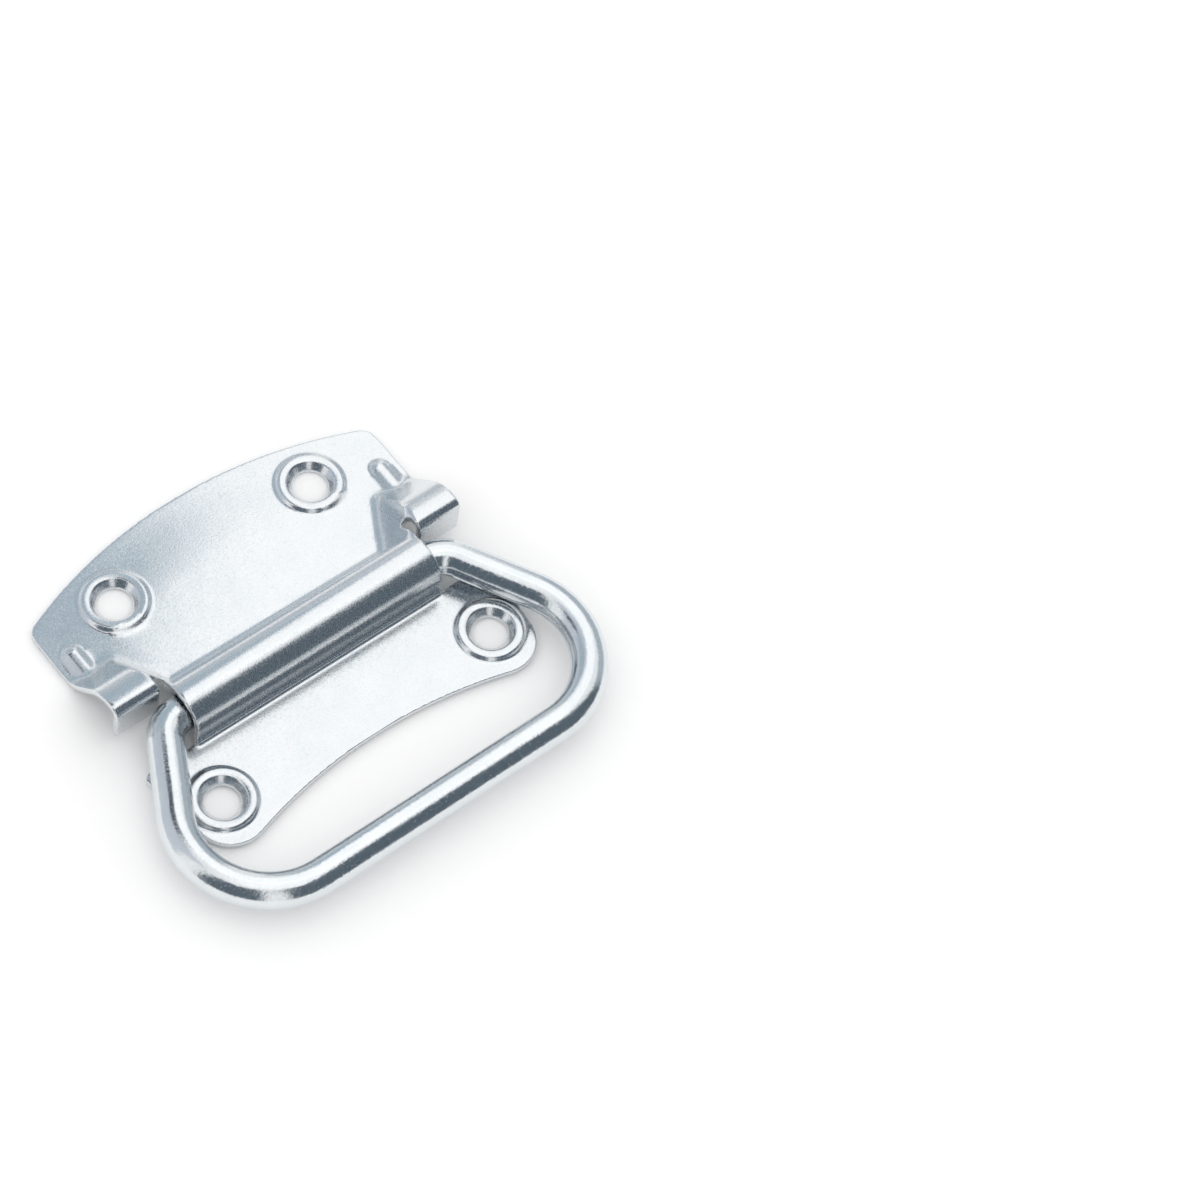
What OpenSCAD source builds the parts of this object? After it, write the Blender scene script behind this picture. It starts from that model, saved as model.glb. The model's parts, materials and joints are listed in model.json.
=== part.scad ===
// Chest handle: a stamped steel back plate and a bent round bail that swings in its hump.
// Millimetres. The plate's back lies on z = 0, +X runs along the pivot, +Y up the chest,
// +Z away from it. The origin is midway between the two upper screw holes.

/* [Sheet] */
// Thickness of the plate's sheet
sheet_t = 1.2; // [1:0.05:1.5]

/* [Screw seats] */
// Distance between the two upper screws
upper_spacing = 41.6; // [36:0.1:46]
// Distance between the two lower screws
lower_spacing = 56.8; // [53:0.1:59]
// Distance from the upper screw row to the lower one
row_gap = 41.3; // [40:0.1:46]
// Diameter of each screw hole
hole_d = 6.2; // [4.5:0.1:6.6]
// Diameter of the countersink's mouth
mouth_d = 8.6; // [7.5:0.1:9]
// Diameter of the raised ring round each countersink, at its foot
ring_d = 12.9; // [12:0.1:13.6]
// Height of the raised ring above the plate
ring_h = 0.75; // [0.3:0.05:0.9]
// Width of the ring's outer slope, from its foot to its crest
ring_slope_w = 1; // [0.8:0.05:1.2]
// Length of the straight land at the bottom of each screw hole
land_h = 0.5; // [0.4:0.05:0.6]

/* [Upper plate] */
// Width of the plate above the pivot
plate_w = 72.4; // [68:0.1:78]
// Height of the arched top edge above the upper screws
crown_rise = 11.2; // [9:0.1:16]
// Radius of the arched top edge
crown_r = 88; // [70:1:140]
// Radius of the two top corners
corner_r = 2.8; // [1:0.1:5]

/* [Lower plate] */
// How far the plate stands out below the pivot, past its width above, on each side
shoulder_w = 0.5; // [0:0.1:1]
// Radius of the lower plate's upper corners
shoulder_r = 1.2; // [0.6:0.1:2]
// How far the centre of each rounded lobe lies below its screw
lobe_drop = 2; // [1:0.1:3]
// Width of flat sheet left between the ring and the lobe's edge
lobe_margin = 0.35; // [0.3:0.05:1]
// How far the hollowed bottom edge lies below the lower screws, at its middle
waist_drop = 4.7; // [3:0.1:6]

/* [Hump] */
// Distance from the upper screw row down to the pivot
pivot_drop = 25.5; // [24:0.1:27]
// Length of the hump that holds the bail's pins
hump_l = 51.6; // [48:0.1:54]
// Slope of the hump's upper side, in degrees
hump_slope = 72; // [66:1:76]
// Radius of the hollow curve from the hump to the upper plate
hump_foot_r = 2.5; // [2:0.1:3.5]
// Radius of the fold from the hump to the lower plate
front_foot_r = 0.8; // [0.5:0.1:1.5]

/* [Ears] */
// Height of the ears' ridge above the plate's back
ear_h = 9.8; // [9:0.1:10.2]
// Radius of the ears' arched upper side
ear_r = 7.5; // [6.5:0.1:8.5]
// Slope of the ears' upper side, in degrees
ear_slope = 48; // [44:1:52]
// Radius of the hollow curve from the ears to the upper plate
ear_foot_r = 3.5; // [2.5:0.1:4.5]
// Outer radius of the fold from an ear's ridge to its stop tab
ridge_r = 2; // [1.7:0.1:2.5]
// Gap between a stop tab's lower edge and the plate's back
tab_gap = 2; // [1.5:0.1:3]
// Width of the slit between the hump and each ear
slit_w = 1.6; // [1:0.1:2]
// How far the slit runs up past the pivot
slit_reach = 7.3; // [7:0.1:8]

/* [Gussets and beads] */
// How far inside the hump's end the gusset beside each ear starts
gusset_inset = 4.1; // [3.5:0.1:5]
// Angle between a gusset's foot and the plate's sides, in degrees
gusset_angle = 30; // [25:1:35]
// Steepness of each gusset, in degrees
gusset_slope = 65; // [60:1:70]
// Radius of the hollow curve at a gusset's foot
gusset_foot_r = 2.5; // [1.5:0.1:3]
// Radius of the round at a gusset's top
gusset_top_r = 2.2; // [1.7:0.1:2.8]
// Distance from a stiffening bead's middle to the plate's side
bead_inset = 3.5; // [3:0.1:4.2]
// Radius of a stiffening bead
bead_r = 2.4; // [2.2:0.1:2.8]
// Height of a stiffening bead above the plate
bead_h = 1; // [0.8:0.05:1.1]
// Length of a stiffening bead on the flat above an ear's foot
bead_l = 5.3; // [4:0.1:6]

/* [Bail] */
// Diameter of the bail's round rod
rod_d = 6.5; // [6:0.1:6.8]
// Distance from the pivot to the middle of the grip bar
bail_drop = 38; // [36:0.1:46]
// How far each leg leans outwards, in degrees
leg_angle = 29.5; // [26:0.5:31]
// Radius of the two bends beside the grip, at the rod's middle
grip_bend_r = 15.2; // [12:0.1:16]
// Radius of the two bends beside the pins, at the rod's middle
pin_bend_r = 6; // [5.5:0.1:7]
// Length of each straight pin inside the hump
pin_l = 14; // [8:0.5:20]
// Chamfer on each pin's end
pin_chamfer = 0.6; // [0.2:0.1:1]

/* [Fits] */
// Gap between a pin and the hump's front wall
pin_clearance = 0.55; // [0.3:0.05:0.8]
// Extra headroom above a pin in the hump
pin_headroom = 0.65; // [0.3:0.05:1]
// Gap between the folded bail's legs and the lower plate
leg_clearance = 0.3; // [0.2:0.05:0.6]
// Gap between the raised bail's legs and the stop tabs
stop_clearance = 0.35; // [0.2:0.05:0.6]

/* [Hidden] */
$fn = 64;
// How far cutting shapes run past the faces they open
past = 1;
// Largest angle that one flat of a round edge turns through, and how far a flat may lie off the round
arc_angle = 6;
arc_sag = 0.012;
// Number of flats up a screw seat's ring, from its foot to its crest
ring_flats = 12;
// Share of the ring's height that is lost from its crest to the countersink's mouth
mouth_dip = 1 / 6;
// How far a straight run of the rod reaches into a bend, and how much bending thins the rod's radius
bend_lap = 0.4;
bend_thinning = 0.06;
// Radius that a straight run has where it ends inside a bend
lap_r = rod_d / 2 - 1.5 * bend_thinning;

lower_w = plate_w + 2 * shoulder_w;
pivot_y = -pivot_drop;
pivot_z = sheet_t + leg_clearance + rod_d / 2;
hump_r = rod_d / 2 + pin_clearance + sheet_t;
arch_z = pivot_z + pin_headroom;
hump_end = hump_l / 2;
// Share of the sheet's thickness that the side notches cut into the fold in front of the hump
front_fold_share = 1 / 4;
// Where the lower plate's upper edge lies, beside the hump, from the pivot
notch_y = front_fold_share * sheet_t - hump_r;
tab_y = rod_d / 2 + stop_clearance;
ridge_y = tab_y + ridge_r;
far_x = max(plate_w, lower_w);
far_z = 2 * (ear_h + hump_r);

// Centre of the hollow curve at the foot of a slope that leaves a round at centre c and radius r
function slope_foot(c, r, slope, foot_r) =
    let (run = (c[1] + (r + foot_r) * cos(slope) - sheet_t - foot_r) / sin(slope))
    [c[0] + (r + foot_r) * sin(slope) + run * cos(slope), sheet_t + foot_r];

// Points along an arc about c from angle a0 to a1
function arc(c, r, a0, a1) =
    let (n = ceil(abs(a1 - a0) / min(arc_angle, 2 * acos(1 - arc_sag / r))))
    [for (i = [0:n]) let (a = a0 + (a1 - a0) * i / n) c + r * [cos(a), sin(a)]];

function mirrored(points) = [for (i = [len(points) - 1:-1:0]) [-points[i][0], points[i][1]]];

hump_foot = slope_foot([0, arch_z], hump_r, hump_slope, hump_foot_r);
ear_foot = slope_foot([ridge_y, ear_h - ear_r], ear_r, ear_slope, ear_foot_r);
// How far a gusset's foot lies from the round at its top
gusset_run = slope_foot([0, ear_h - gusset_top_r], gusset_top_r, gusset_slope, gusset_foot_r)[0];

// Flat outlines

module upper_outline() {
    crown_c = [0, crown_rise - crown_r];
    corner_x = plate_w / 2 - corner_r;
    corner_c = [corner_x, crown_c[1] + sqrt(pow(crown_r - corner_r, 2) - pow(corner_x, 2))];
    corner_a = atan2(corner_c[1] - crown_c[1], corner_c[0]);
    side = concat([[plate_w / 2, pivot_y + hump_r]], arc(corner_c, corner_r, 0, corner_a));
    crown = arc(crown_c, crown_r, corner_a, 90);
    right = concat(side, crown);
    polygon(concat(right, mirrored(right)));
}

module lower_outline() {
    lobe_r = ring_d / 2 + lobe_margin;
    lobe_c = [lower_spacing / 2, -row_gap - lobe_drop];
    shoulder_c = [lower_w / 2 - shoulder_r, pivot_y + notch_y - shoulder_r];
    // The side is the straight line that touches the shoulder's and the lobe's rounds
    lean = lobe_c - shoulder_c;
    side_a = atan2(lean[1], lean[0]) + acos((shoulder_r - lobe_r) / norm(lean));
    // The waist's arc touches both lobes
    waist_y = -row_gap - waist_drop;
    rise = lobe_c[1] - waist_y;
    waist_r = (pow(norm([lobe_c[0], rise]), 2) - pow(lobe_r, 2)) / (2 * (lobe_r - rise));
    waist_c = [0, waist_y - waist_r];
    touch_a = atan2(waist_c[1] - lobe_c[1], waist_c[0] - lobe_c[0]);
    right = concat(
        arc(shoulder_c, shoulder_r, 90, side_a),
        arc(lobe_c, lobe_r, side_a, touch_a),
        arc(waist_c, waist_r, touch_a + 180, 90)
    );
    polygon(concat(right, mirrored(right)));
}

// Cross-sections, in the plane across the pivot. inset is 0 for the outside of the sheet and
// sheet_t for the hollow under it, which then runs past the plate's back.

module hump_section(inset) {
    front_c = [-hump_r - front_foot_r, sheet_t + front_foot_r];
    base = inset > 0 ? -past : 0;
    polygon(concat(
        [[front_c[0], base]],
        arc(front_c, front_foot_r + inset, 270, 360),
        arc([0, arch_z], hump_r - inset, 180, 90 - hump_slope),
        arc(hump_foot, hump_foot_r + inset, 270 - hump_slope, 270),
        [[hump_foot[0], base]]
    ));
}

// The raised area of an ear: it ends in the stop tab, or runs on into the hump beside it
module ear_section(inset, with_tab) {
    base = inset > 0 ? -past : 0;
    fold_c = [ridge_y, ear_h - ridge_r];
    front = with_tab
        ? concat([[tab_y + inset, base]], arc(fold_c, ridge_r - inset, 180, 90))
        : [[0, base], [0, ear_h - inset]];
    polygon(concat(
        front,
        arc([ridge_y, ear_h - ear_r], ear_r - inset, 90, 90 - ear_slope),
        arc(ear_foot, ear_foot_r + inset, 270 - ear_slope, 270),
        [[ear_foot[0], base]]
    ));
}

module gusset_section(inset) {
    base = inset > 0 ? -2 * past : -past;
    polygon(concat(
        [[0, base]],
        arc([0, sheet_t + gusset_foot_r], gusset_foot_r + inset, 270, 270 + gusset_slope),
        arc([gusset_run, ear_h - gusset_top_r], gusset_top_r - inset, 90 + gusset_slope, 90),
        [[far_x, ear_h - inset], [far_x, base]]
    ));
}

// Extrudes a cross-section along the pivot from x0 to x1
module along_pivot(x0, x1) {
    translate([x0, pivot_y, 0]) rotate([90, 0, 90]) linear_extrude(x1 - x0) children();
}

module on_both_sides() {
    children();
    mirror([1, 0, 0]) children();
}

module at_screws() {
    for (side = [-1, 1]) {
        translate([side * upper_spacing / 2, 0, 0]) children();
        translate([side * lower_spacing / 2, -row_gap, 0]) children();
    }
}

// Raised forms of the plate, as the outside of the sheet or as the hollow under it

module raised_ear(inset) {
    slit_x = hump_end + slit_w / 2;
    intersection() {
        union() {
            along_pivot(0, slit_x) ear_section(inset, false);
            along_pivot(slit_x, plate_w / 2 + (inset > 0 ? past : 0)) ear_section(inset, true);
        }
        translate([hump_end - gusset_inset, pivot_y + hump_foot[0], 0])
            rotate([90, 0, -gusset_angle])
                linear_extrude(2 * far_x, center = true) gusset_section(inset);
    }
}

module bead(inset) {
    round_y = pivot_y + ear_foot[0] + bead_l - bead_r;
    length = round_y - (pivot_y + ridge_y + ear_r);
    translate([plate_w / 2 - bead_inset, round_y, sheet_t + bead_h - bead_r]) {
        sphere(bead_r - inset);
        rotate([90, 0, 0]) cylinder(h = length, r = bead_r - inset);
    }
}

module raised_forms(inset) {
    along_pivot(-hump_end, hump_end) hump_section(inset);
    on_both_sides() raised_ear(inset);
}

// A screw seat: a raised ring that dips into a countersunk hole
module screw_seat() {
    foot_r = ring_d / 2;
    side = [
        for (i = [0:ring_flats])
            let (u = i / ring_flats)
            [foot_r - u * ring_slope_w, sheet_t + ring_h * (1 - cos(180 * u)) / 2]
    ];
    mouth = [mouth_d / 2, sheet_t + ring_h * (1 - mouth_dip)];
    rotate_extrude()
        polygon(concat([[hole_d / 2, 0], [foot_r, 0]], side, [mouth, [hole_d / 2, land_h]]));
}

module side_notch() {
    notch_top = tab_y + sheet_t + past / 2;
    translate([hump_end, pivot_y + notch_y, -past]) cube([far_x, notch_top - notch_y, tab_gap + past]);
}

module slit() {
    end_r = slit_w / 2;
    translate([hump_end, pivot_y + notch_y, -past])
        cube([slit_w, slit_reach - end_r - notch_y, far_z]);
    translate([hump_end + end_r, pivot_y + slit_reach - end_r, -past]) cylinder(h = far_z, r = end_r);
}

module back_plate() {
    color([0.80, 0.84, 0.87])
        difference() {
            union() {
                difference() {
                    union() {
                        linear_extrude(sheet_t) upper_outline();
                        linear_extrude(sheet_t) lower_outline();
                        raised_forms(0);
                        on_both_sides() intersection() {
                            bead(0);
                            translate([0, -far_x, 0]) cube([far_x, 2 * far_x, far_z]);
                        }
                    }
                    raised_forms(sheet_t);
                    on_both_sides() bead(sheet_t);
                    at_screws() translate([0, 0, -past]) cylinder(h = far_z, r = ring_d / 2);
                }
                at_screws() screw_seat();
            }
            on_both_sides() side_notch();
            on_both_sides() slit();
        }
}

// A straight length of the bail's rod along +Z. It narrows a little into the bend at each end,
// or has a chamfered cut end in place of the first bend.
module rod_run(length, cut_end = false) {
    rod_r = rod_d / 2;
    start = cut_end
        ? [[0, 0], [rod_r - pin_chamfer, 0], [rod_r, pin_chamfer]]
        : [[0, -bend_lap], [lap_r, -bend_lap], [rod_r, bend_lap]];
    end = [[rod_r, length - bend_lap], [lap_r, length + bend_lap], [0, length + bend_lap]];
    rotate_extrude() polygon(concat(start, end));
}

// A bend of the bail's rod about the origin, from the +X side round to angle turn
module rod_bend(bend_r, turn) {
    rotate_extrude(angle = turn) translate([bend_r, 0]) circle(rod_d / 2 - bend_thinning);
}

// The bail lies folded down the chest, with its pins along the pivot
module bail() {
    pin_turn = 90 - leg_angle;
    grip_turn = 90 + leg_angle;
    pin_reach = pin_bend_r * tan(pin_turn / 2);
    grip_reach = grip_bend_r * tan(grip_turn / 2);
    // Where the leg's middle line would meet the pivot and the grip's middle line
    root_x = hump_end + pin_reach;
    foot_x = root_x + bail_drop * tan(leg_angle);
    grip_x = foot_x - grip_reach;
    color([0.76, 0.80, 0.84])
        translate([0, pivot_y, pivot_z]) {
            on_both_sides() {
                translate([hump_end - pin_l, 0, 0]) rotate([0, 90, 0]) rod_run(pin_l, cut_end = true);
                translate([hump_end, -pin_bend_r, 0]) rotate(90 - pin_turn) rod_bend(pin_bend_r, pin_turn);
                translate([root_x, 0, 0]) rotate([90, 0, leg_angle]) translate([0, 0, pin_reach])
                    rod_run(bail_drop / cos(leg_angle) - pin_reach - grip_reach);
                translate([grip_x, grip_bend_r - bail_drop, 0]) rotate(-90) rod_bend(grip_bend_r, grip_turn);
            }
            translate([-grip_x, -bail_drop, 0]) rotate([0, 90, 0]) rod_run(2 * grip_x);
        }
}

back_plate();
bail();
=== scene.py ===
# %% [markdown]
# # A chest handle in bright zinc
# The handle has two pieces: a back plate stamped from one sheet of steel, and a bail bent from one
# round rod. The solids of both come from the frame at their true size. This lesson gives them the soft
# edges of stamped and bent metal, a zinc finish, a small studio and a camera.

# %% Load the frame
import json
import math

import bpy
from mathutils import Matrix, Quaternion, Vector

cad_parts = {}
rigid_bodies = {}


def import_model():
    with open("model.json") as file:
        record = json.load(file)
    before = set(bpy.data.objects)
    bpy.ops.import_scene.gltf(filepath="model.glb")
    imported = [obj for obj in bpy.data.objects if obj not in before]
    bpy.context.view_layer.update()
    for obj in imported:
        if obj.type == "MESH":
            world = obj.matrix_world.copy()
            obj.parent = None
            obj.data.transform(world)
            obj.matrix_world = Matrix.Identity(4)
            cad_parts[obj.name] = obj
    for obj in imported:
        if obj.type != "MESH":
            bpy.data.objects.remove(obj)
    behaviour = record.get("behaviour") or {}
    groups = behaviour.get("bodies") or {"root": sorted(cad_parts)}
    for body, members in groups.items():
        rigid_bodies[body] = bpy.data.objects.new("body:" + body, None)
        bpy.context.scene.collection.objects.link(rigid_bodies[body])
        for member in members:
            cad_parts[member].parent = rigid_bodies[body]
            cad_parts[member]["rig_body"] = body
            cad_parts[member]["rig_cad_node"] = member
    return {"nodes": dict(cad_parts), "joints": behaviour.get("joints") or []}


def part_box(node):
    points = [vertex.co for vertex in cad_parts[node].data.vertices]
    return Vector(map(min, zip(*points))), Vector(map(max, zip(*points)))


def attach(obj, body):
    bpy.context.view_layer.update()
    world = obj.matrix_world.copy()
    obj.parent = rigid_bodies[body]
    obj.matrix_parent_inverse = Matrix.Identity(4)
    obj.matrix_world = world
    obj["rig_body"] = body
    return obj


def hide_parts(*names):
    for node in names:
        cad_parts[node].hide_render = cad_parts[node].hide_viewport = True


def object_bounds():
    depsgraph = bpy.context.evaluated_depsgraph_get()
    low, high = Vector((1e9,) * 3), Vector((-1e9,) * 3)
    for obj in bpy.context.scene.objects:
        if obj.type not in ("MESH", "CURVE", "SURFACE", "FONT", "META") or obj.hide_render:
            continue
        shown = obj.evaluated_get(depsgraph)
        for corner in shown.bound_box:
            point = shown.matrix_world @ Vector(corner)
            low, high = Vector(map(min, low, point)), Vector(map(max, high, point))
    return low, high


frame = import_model()
cad_low, cad_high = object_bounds()
MM = 0.001
MICRON = MM / 1000
print("solids:", sorted(frame["nodes"]), "size in mm:", [round(s / MM, 1) for s in cad_high - cad_low])

# %% [markdown]
# ## The stamped plate
# A press has pushed this sheet into shape, so no edge on it is truly sharp: folds run softly into the
# flats, and the sheared rim has a small roll. The solid has crisp edges. They could be bevelled one by
# one, but a bevel can't blend the ears into the hump. So a copy of the solid is remeshed into even small
# squares, and smoothing those squares softens every edge as the press would.


# %% Helpers to pick objects and points
def select_only(obj):
    """Makes obj the one selected and active object."""
    bpy.ops.object.select_all(action="DESELECT")
    obj.select_set(True)
    bpy.context.view_layer.objects.active = obj


def copy_of_solid(node, name):
    """Copies a solid's object and mesh as a free piece, with its loose triangles merged."""
    select_only(frame["nodes"][node])
    bpy.ops.object.duplicate()
    piece = bpy.context.active_object
    bpy.ops.object.parent_clear(type="CLEAR_KEEP_TRANSFORM")
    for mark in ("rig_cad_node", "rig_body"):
        del piece[mark]
    piece.name = piece.data.name = name
    bpy.ops.object.mode_set(mode="EDIT")
    bpy.ops.mesh.select_all(action="SELECT")
    bpy.ops.mesh.remove_doubles(threshold=MICRON)
    bpy.ops.object.mode_set(mode="OBJECT")
    return piece


def apply_modifier(piece, kind, **settings):
    """Adds one modifier to the active piece, sets it and applies it."""
    bpy.ops.object.modifier_add(type=kind)
    modifier = piece.modifiers[-1]
    for name, value in settings.items():
        setattr(modifier, name, value)
    bpy.ops.object.modifier_apply(modifier=modifier.name)


def edit_points(piece, chosen):
    """Opens the piece in edit mode with only those points selected whose place passes the test."""
    select_only(piece)
    bpy.ops.object.mode_set(mode="EDIT")
    bpy.ops.mesh.select_mode(type="VERT")
    bpy.ops.mesh.select_all(action="DESELECT")
    bpy.ops.object.mode_set(mode="OBJECT")
    for vertex in piece.data.vertices:
        vertex.select = chosen(vertex.co)
    bpy.ops.object.mode_set(mode="EDIT")


# %% Remesh and soften the plate
SQUARE = 0.2 * MM
HALFWAY = 0.5  # how far each pass moves a point towards the middle of its neighbours
EDGE_PASSES = 10
plate = copy_of_solid("back_plate", "stamped_plate")
apply_modifier(plate, "REMESH", mode="VOXEL", voxel_size=SQUARE)
apply_modifier(plate, "SMOOTH", factor=HALFWAY, iterations=EDGE_PASSES)
print("stamped plate:", len(plate.data.polygons), "squares")

# %% [markdown]
# The folds beside the ears were drawn deeper than the rest, so they are softer still. Their points are
# picked by place, in a box round each ear, and smoothed some more. The stop tabs stay crisp.

# %% Soften the ears' folds
pivot = Vector(frame["joints"][0]["pos_m"])
_, plate_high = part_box("back_plate")
# As heights over the pivot, the box starts past the stop tab's fold and ends past the ear's foot
TAB_CLEAR = 9 * MM
EAR_REACH = 21 * MM
# Inwards from the plate's side, it starts past the rim and ends past the ear's inner fold
RIM = 1.5 * MM
EAR_LENGTH = 18 * MM
EAR_PASSES = 40


def at_ear(place):
    """Tells whether a place lies in the box round either ear."""
    beside = plate_high.x - EAR_LENGTH < abs(place.x) < plate_high.x - RIM
    return beside and TAB_CLEAR < place.y - pivot.y < EAR_REACH


edit_points(plate, at_ear)
bpy.ops.mesh.vertices_smooth(factor=HALFWAY, repeat=EAR_PASSES)
bpy.ops.object.mode_set(mode="OBJECT")
print("points softened at the ears:", sum(at_ear(v.co) for v in plate.data.vertices))

# %% [markdown]
# Shearing has left the sheet's upper rim bent back a little. A few tenths of a millimetre don't show as
# a shape, but bright metal shows them as a darker end. The rim's points are moved down, and proportional
# editing takes the sheet beside them along.

# %% Let the upper rim droop
DROOP = 0.35 * MM
DROOP_REACH = 13 * MM
SIDE_LENGTH = 10 * MM  # how far the droop runs down the plate's sides, from the upper screws
CROWN_RADIUS = 88 * MM  # of the arched upper edge, as in the part's source
crown_centre = Vector((0, plate_high.y - CROWN_RADIUS))


def at_upper_rim(place):
    """Tells whether a place lies on the arched edge or on the sides below it."""
    at_side = abs(place.x) > plate_high.x - RIM
    at_crown = (place.xy - crown_centre).length > CROWN_RADIUS - RIM
    return place.y > -SIDE_LENGTH and (at_side or at_crown)


edit_points(plate, at_upper_rim)
bpy.ops.transform.translate(value=(0, 0, -DROOP), use_proportional_edit=True,
                            proportional_edit_falloff="SMOOTH", proportional_size=DROOP_REACH)
bpy.ops.object.mode_set(mode="OBJECT")
lowest = min(v.co.z for v in plate.data.vertices)
print("rim droops to z =", round(lowest / MM, 2), "mm")

# %% [markdown]
# Flat sheet needs few points, and round folds need many. Decimating takes the points away where the
# sheet is flat first, so the folds keep theirs.

# %% Thin out the flats
KEPT_TRIANGLES = 180000
apply_modifier(plate, "DECIMATE", ratio=KEPT_TRIANGLES / (2 * len(plate.data.polygons)))
bpy.ops.object.shade_smooth()
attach(plate, "plate")
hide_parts("back_plate")
print("stamped plate:", len(plate.data.polygons), "triangles")

# %% [markdown]
# ## The bail
# The bail is drawn steel rod, cut to length and bent four times. It is modelled the same way: a ring of
# points is extruded along each straight and spun round each bend, for one half, and a mirror makes the
# other. A swept curve would also do, but extruding and spinning keeps each bend's true radius.

# %% Measure the bail
# The bends, pins and legs have the sizes of the part's source; the rest is measured from the solid
bail_low, bail_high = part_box("bail")
LEG_ANGLE = math.radians(29.5)
GRIP_BEND = 15.2 * MM
PIN_BEND = 6 * MM
PIN_LENGTH = 14 * MM
PIN_CHAMFER = 0.6 * MM
rod_r = (bail_high.z - bail_low.z) / 2
drop = pivot.y - bail_low.y - rod_r
grip_x = bail_high.x - rod_r - GRIP_BEND
pin_turn = math.pi / 2 - LEG_ANGLE
grip_turn = math.pi / 2 + LEG_ANGLE
pin_reach = PIN_BEND * math.tan(pin_turn / 2)
grip_reach = GRIP_BEND * math.tan(grip_turn / 2)
leg_length = drop / math.cos(LEG_ANGLE) - pin_reach - grip_reach
bend_x = grip_x + grip_reach - drop * math.tan(LEG_ANGLE) - pin_reach
print("rod", round(2 * rod_r / MM, 2), "mm, leg", round(leg_length / MM, 1), "mm, pin bend at x =",
      round(bend_x / MM, 1), "mm")

# %% Extrude and spin one half of the bail
ROD_SIDES = 64
STEP = math.radians(2.5)  # how far one step of a bend turns


def extrude(offset):
    """Draws the open ring out by an offset."""
    bpy.ops.mesh.extrude_region_move(TRANSFORM_OT_translate={"value": offset})


def bend(turn, centre):
    """Carries the open ring round centre, towards the bail's middle."""
    bpy.ops.mesh.spin(steps=round(turn / STEP), angle=turn, center=centre, axis=(0, 0, 1))


pin_x = bend_x - PIN_LENGTH
bpy.ops.object.select_all(action="DESELECT")
bpy.ops.mesh.primitive_circle_add(
    vertices=ROD_SIDES, radius=rod_r - PIN_CHAMFER, fill_type="NGON",
    location=(pin_x, pivot.y, pivot.z), rotation=(0, math.pi / 2, 0))
bail = bpy.context.active_object
bail.name = bail.data.name = "bent_bail"
bpy.ops.object.transform_apply(location=True, rotation=True, scale=True)
bpy.ops.object.mode_set(mode="EDIT")
bpy.ops.mesh.select_mode(type="EDGE")
bpy.ops.mesh.select_all(action="SELECT")
bpy.ops.mesh.region_to_loop()
extrude((PIN_CHAMFER, 0, 0))
flare = rod_r / (rod_r - PIN_CHAMFER)
bpy.ops.transform.resize(value=(1, flare, flare), center_override=(pin_x, pivot.y, pivot.z))
extrude((PIN_LENGTH - PIN_CHAMFER, 0, 0))
bend(pin_turn, (bend_x, pivot.y - PIN_BEND, pivot.z))
extrude((leg_length * math.sin(LEG_ANGLE), -leg_length * math.cos(LEG_ANGLE), 0))
bend(grip_turn, (grip_x, pivot.y - drop + GRIP_BEND, pivot.z))
extrude((-grip_x, 0, 0))
bpy.ops.object.mode_set(mode="OBJECT")
print("half a bail:", len(bail.data.polygons), "faces, ends at x =",
      round(min(v.co.x for v in bail.data.vertices) / MM, 4), "mm")

# %% Mirror the half
SHARP_EDGE = math.radians(30)
apply_modifier(bail, "MIRROR", use_axis=(True, False, False), merge_threshold=MICRON)
bpy.ops.object.mode_set(mode="EDIT")
bpy.ops.mesh.select_all(action="SELECT")
bpy.ops.mesh.normals_make_consistent(inside=False)
bpy.ops.object.mode_set(mode="OBJECT")
bpy.ops.object.shade_smooth_by_angle(angle=SHARP_EDGE)
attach(bail, "bail")
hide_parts("bail")
print("bail:", len(bail.data.polygons), "faces")

# %% [markdown]
# ## Zinc plating
# Blue-white zinc is a thin bright metal coat under a clear passivation. It mirrors its surroundings a
# little blurred, and its crystals give a fine sparkle where dark things are mirrored. Metal has no
# colour of its own but the tint of its mirror, so the finish is mostly in roughness and bump, with a
# faint cloudy tint. Real crystals are far finer than a pixel, so the grain is drawn coarser, a third of
# a millimetre or more, to show. One function adds any node, and patterns are sized in millimetres.


# %% Helpers for finishes
def linear(hex_colour):
    """Turns an sRGB hex colour into the linear RGBA that shaders take, by the sRGB formula."""
    shares = [int(hex_colour[i:i + 2], 16) / 255 for i in (1, 3, 5)]
    return (*(s / 12.92 if s <= 0.04045 else ((s + 0.055) / 1.055) ** 2.4 for s in shares), 1)


def add_node(tree, kind, inputs, **settings):
    """Adds a node with its settings; each input is a value or the socket that feeds it."""
    node = tree.nodes.new(kind)
    for name, value in settings.items():
        setattr(node, name, value)
    for name, value in inputs.items():
        if isinstance(value, bpy.types.NodeSocket):
            tree.links.new(value, node.inputs[name])
        else:
            node.inputs[name].default_value = value
    return node


def new_finish(name):
    """A material with an empty node tree, and the tree."""
    finish = bpy.data.materials.new(name)
    finish.use_nodes = True
    finish.node_tree.nodes.clear()
    return finish, finish.node_tree


def matte(name, colour):
    """A plain matte finish, for paper and card."""
    finish, tree = new_finish(name)
    surface = add_node(tree, "ShaderNodeBsdfDiffuse", {"Color": linear(colour)})
    add_node(tree, "ShaderNodeOutputMaterial", {"Surface": surface.outputs["BSDF"]})
    return finish


def coat(piece, finish):
    """Gives the whole piece one finish."""
    piece.data.materials.clear()
    piece.data.materials.append(finish)


# %% Zinc on sheet and rod
CLOUD_MM = 5
CLOUD_RANGE = (0.35, 0.65)  # the noise's values that take the shade and the tint
GLOSS_RANGE = (0.4, 0.75)  # the noise's values that are smooth and dull


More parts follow.
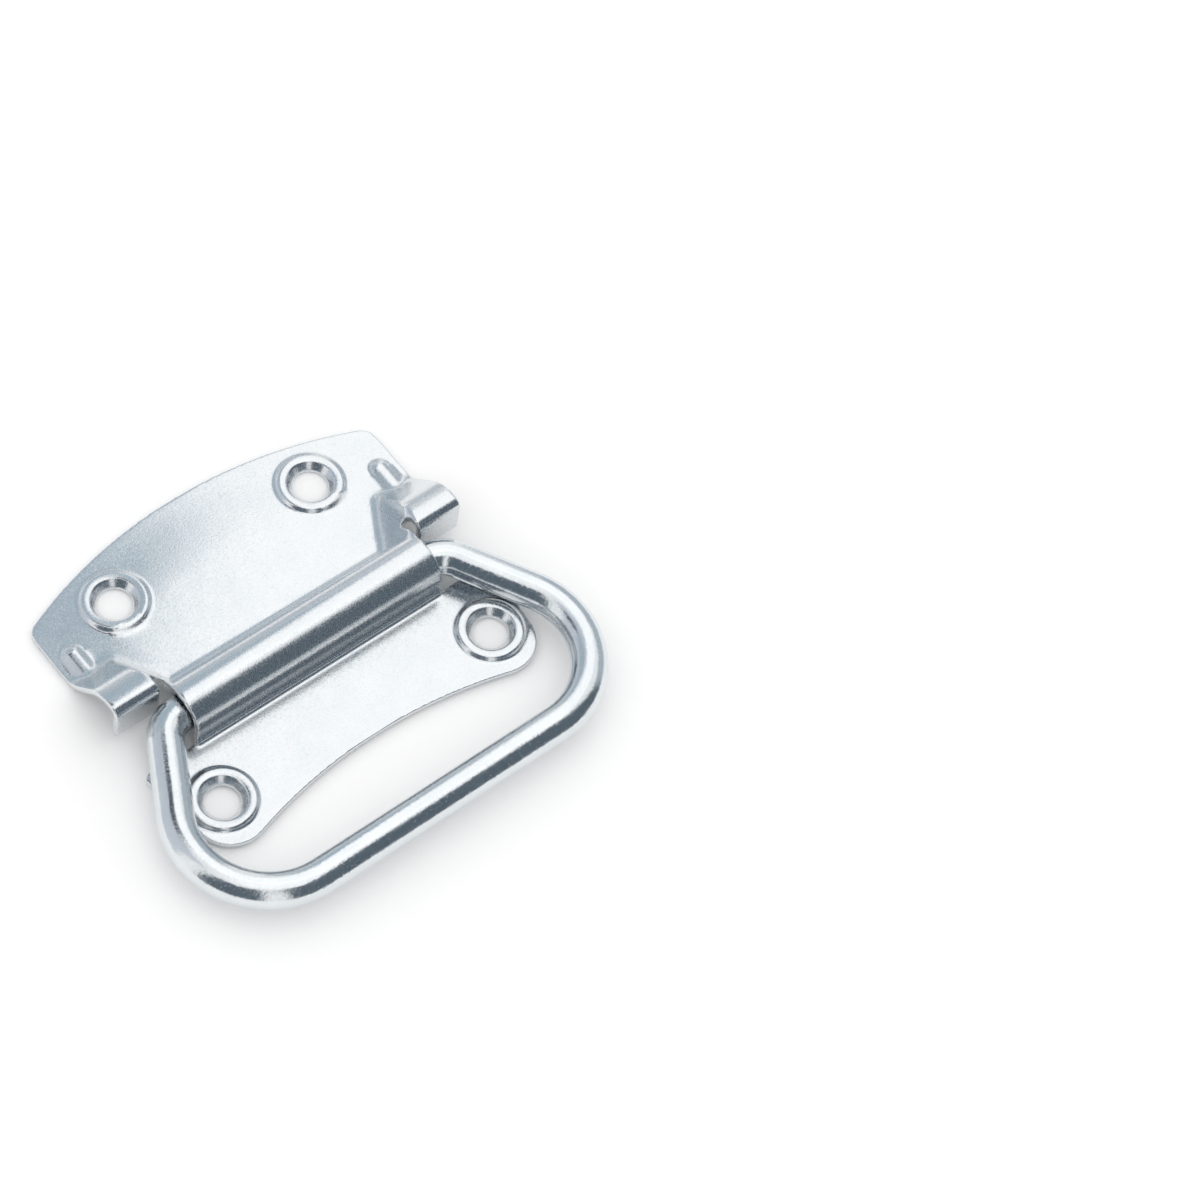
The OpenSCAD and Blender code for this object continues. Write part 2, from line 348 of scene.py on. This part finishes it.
def zinc(name, tint, shade, grain_mm, grain_depth, wave_mm, wave_depth, smooth, dull):
    """Zinc plating: a cloudy tint, crystals in gloss and bump, and slight waves; depths are in mm."""
    finish, tree = new_finish(name)
    place = add_node(tree, "ShaderNodeTexCoord", {})
    in_mm = add_node(tree, "ShaderNodeMapping", {"Vector": place.outputs["Object"], "Scale": (1 / MM,) * 3})
    at = in_mm.outputs["Vector"]
    grain = add_node(tree, "ShaderNodeTexNoise",
                     {"Vector": at, "Scale": 1 / grain_mm, "Detail": 2, "Roughness": 0.6})
    wave = add_node(tree, "ShaderNodeTexNoise", {"Vector": at, "Scale": 1 / wave_mm, "Detail": 1})
    cloud = add_node(tree, "ShaderNodeTexNoise",
                     {"Vector": at, "Scale": 1 / CLOUD_MM, "Detail": 5, "Roughness": 0.6})
    colour = add_node(tree, "ShaderNodeValToRGB", {"Fac": cloud.outputs["Fac"]})
    for stop, position, hex_colour in zip(colour.color_ramp.elements, CLOUD_RANGE, (shade, tint)):
        stop.position, stop.color = position, linear(hex_colour)
    gloss = add_node(tree, "ShaderNodeMapRange",
                     {"Value": grain.outputs["Fac"], "From Min": GLOSS_RANGE[0],
                      "From Max": GLOSS_RANGE[1], "To Min": smooth, "To Max": dull}, clamp=True)
    waves = add_node(tree, "ShaderNodeBump", {"Height": wave.outputs["Fac"], "Distance": wave_depth * MM})
    crystals = add_node(tree, "ShaderNodeBump",
                        {"Height": grain.outputs["Fac"], "Distance": grain_depth * MM,
                         "Normal": waves.outputs["Normal"]})
    metal = add_node(tree, "ShaderNodeBsdfPrincipled",
                     {"Base Color": colour.outputs["Color"], "Metallic": 1,
                      "Roughness": gloss.outputs["Result"], "Normal": crystals.outputs["Normal"]})
    add_node(tree, "ShaderNodeOutputMaterial", {"Surface": metal.outputs["BSDF"]})
    return finish


coat(plate, zinc("zinc_plated_sheet", tint="#E3E6E8", shade="#DEE2E5", grain_mm=0.35, grain_depth=0.014,
                 wave_mm=12, wave_depth=0.03, smooth=0.17, dull=0.34))
coat(bail, zinc("zinc_plated_rod", tint="#E4E8EA", shade="#DEE3E6", grain_mm=0.42, grain_depth=0.022,
                wave_mm=7, wave_depth=0.03, smooth=0.11, dull=0.3))
print("finishes:", plate.data.materials[0].name, bail.data.materials[0].name)

# %% [markdown]
# ## The studio
# Bright metal shows the room, so the room is the picture. The handle lies on white paper in a white
# tent. The tent is open towards the viewer, where the room is dim on both sides of a bright gap. Low
# grey walls stand at the back and on the right, and a tall pale one on the left. A grey flag hangs over
# the upper left corner and shades the plate's end, and a small dark one draws a line down the left leg.
# The white comes from the world. The room, walls and flags are plain cards that only mirrors see, and
# two weak softboxes brighten what the flats and the hump's top mirror.

# %% The white tent and the floor
scene = bpy.context.scene
scene.view_settings.view_transform = "Standard"
scene.world = bpy.data.worlds.new("white_tent")
scene.world.use_nodes = True
sky = scene.world.node_tree
sky.nodes.clear()
white = add_node(sky, "ShaderNodeBackground", {"Color": linear("#FFFFFF"), "Strength": 1})
add_node(sky, "ShaderNodeOutputWorld", {"Surface": white.outputs["Background"]})

FLOOR_SIZE = 6
FLOOR_GAP = 0.05 * MM
bpy.ops.object.select_all(action="DESELECT")
bpy.ops.mesh.primitive_plane_add(size=FLOOR_SIZE, location=(0, 0, lowest - FLOOR_GAP))
floor = bpy.context.active_object
floor.name = "floor"
coat(floor, matte("white_paper", "#FFFFFF"))
print("floor at z =", round(floor.location.z / MM, 2), "mm")


# %% The cards
ROOM_RADIUS = 1
ROOM_SIDES = 360  # one for each degree


def as_card(piece, name, colour):
    """Makes a piece a matte card that shows only in the handle's mirrors."""
    piece.name = name
    piece.visible_camera = piece.visible_diffuse = piece.visible_shadow = False
    coat(piece, matte(name, colour))
    print(name, len(piece.data.polygons), "faces")


def bent_card(name, heading, half_turn, height, colour):
    """A bent card that stands round the handle; its middle's heading is in degrees from +X to +Y."""
    bpy.ops.object.select_all(action="DESELECT")
    bpy.ops.mesh.primitive_cylinder_add(vertices=ROOM_SIDES, radius=ROOM_RADIUS, depth=height,
                                        end_fill_type="NOTHING", location=(0, 0, height / 2))
    wall = bpy.context.active_object
    middle = Vector((math.cos(math.radians(heading)), math.sin(math.radians(heading))))
    edit_points(wall, lambda place: place.xy.angle(middle) > math.radians(half_turn))
    bpy.ops.mesh.delete(type="VERT")
    bpy.ops.object.mode_set(mode="OBJECT")
    as_card(wall, name, colour)


bent_card("dim_room_right", heading=-67, half_turn=40, height=2.0, colour="#5E6972")
bent_card("dim_room_left", heading=-153, half_turn=26, height=2.0, colour="#5E6972")
bent_card("low_wall", heading=82, half_turn=34, height=0.42, colour="#C3CAD0")
bent_card("left_wall", heading=120, half_turn=38, height=2.4, colour="#CDD2DA")
bent_card("right_wall", heading=4, half_turn=31, height=0.68, colour="#B4BEC6")

# %% The flags
FLAG_HEIGHT_MM = 110


def flag(name, corner_mm, turn, size_mm, colour):
    """A flat card that hangs over the handle, turned about its lower right corner."""
    corner = Vector((*corner_mm, FLAG_HEIGHT_MM)) * MM
    width, depth = (side * MM for side in size_mm)
    bpy.ops.object.select_all(action="DESELECT")
    bpy.ops.mesh.primitive_plane_add(size=1, location=corner + Vector((-width, depth, 0)) / 2)
    bpy.ops.transform.resize(value=(width, depth, 1))
    bpy.ops.transform.rotate(value=math.radians(turn), orient_axis="Z", center_override=corner)
    as_card(bpy.context.active_object, name, colour)


flag("grey_flag", corner_mm=(-3, 23), turn=45, size_mm=(180, 180), colour="#AEBDC7")
flag("dark_flag", corner_mm=(-27, -9), turn=30, size_mm=(56, 38), colour="#4A525A")


# %% Two softboxes
LAMP_DISTANCE = 0.95


def softbox(name, heading, height, size, watts):
    """A square area lamp that faces the handle from a heading and height, in degrees."""
    bpy.ops.object.light_add(type="AREA")
    lamp = bpy.context.active_object
    lamp.name = lamp.data.name = name
    turn, rise = math.radians(heading), math.radians(height)
    out = Vector((math.cos(turn) * math.cos(rise), math.sin(turn) * math.cos(rise), math.sin(rise)))
    lamp.location = out * LAMP_DISTANCE
    lamp.rotation_euler = out.to_track_quat("Z", "Y").to_euler()
    lamp.data.size = size
    lamp.data.energy = watts
    print(name, "radiance about", round(watts / size ** 2 / math.pi, 2))


softbox("top_softbox", heading=-60, height=78, size=0.6, watts=0.24)
softbox("rear_softbox", heading=40, height=60, size=0.7, watts=0.37)

# %% [markdown]
# ## The camera
# A long lens looks down on the handle from its front left corner, rolled a little, as a hand-held
# product shot is. The handle sits in the left half of a square picture.

# %% Aim the camera
AZIMUTH, ELEVATION, ROLL = math.radians(-43), math.radians(60), math.radians(7)
DISTANCE = 750 * MM
SENSOR_WIDTH = 36
PICTURE = 1200
PX_PER_MM = 5.9  # the scale at the handle's middle
HANDLE_AT = (312, 645)  # where that middle falls, in pixels from the picture's top left corner
ahead = Vector((-math.sin(AZIMUTH) * math.cos(ELEVATION), math.cos(AZIMUTH) * math.cos(ELEVATION),
                -math.sin(ELEVATION)))
turned = Quaternion(ahead, -ROLL)
across = turned @ Vector((math.cos(AZIMUTH), math.sin(AZIMUTH), 0))
up = across.cross(ahead)
centre = (cad_low + cad_high) / 2
aim = centre + (across * (PICTURE / 2 - HANDLE_AT[0]) + up * (HANDLE_AT[1] - PICTURE / 2)) * MM / PX_PER_MM
bpy.ops.object.camera_add(location=centre - ahead * DISTANCE)
camera = bpy.context.active_object
look = (aim - camera.location).normalized()
side = look.cross(up).normalized()
camera.rotation_mode = "QUATERNION"
camera.rotation_quaternion = Matrix((side, side.cross(look), -look)).transposed().to_quaternion()
camera.data.sensor_width = SENSOR_WIDTH
camera.data.lens = SENSOR_WIDTH * PX_PER_MM * DISTANCE / MM / PICTURE
scene.camera = camera
print("lens", round(camera.data.lens, 1), "mm")
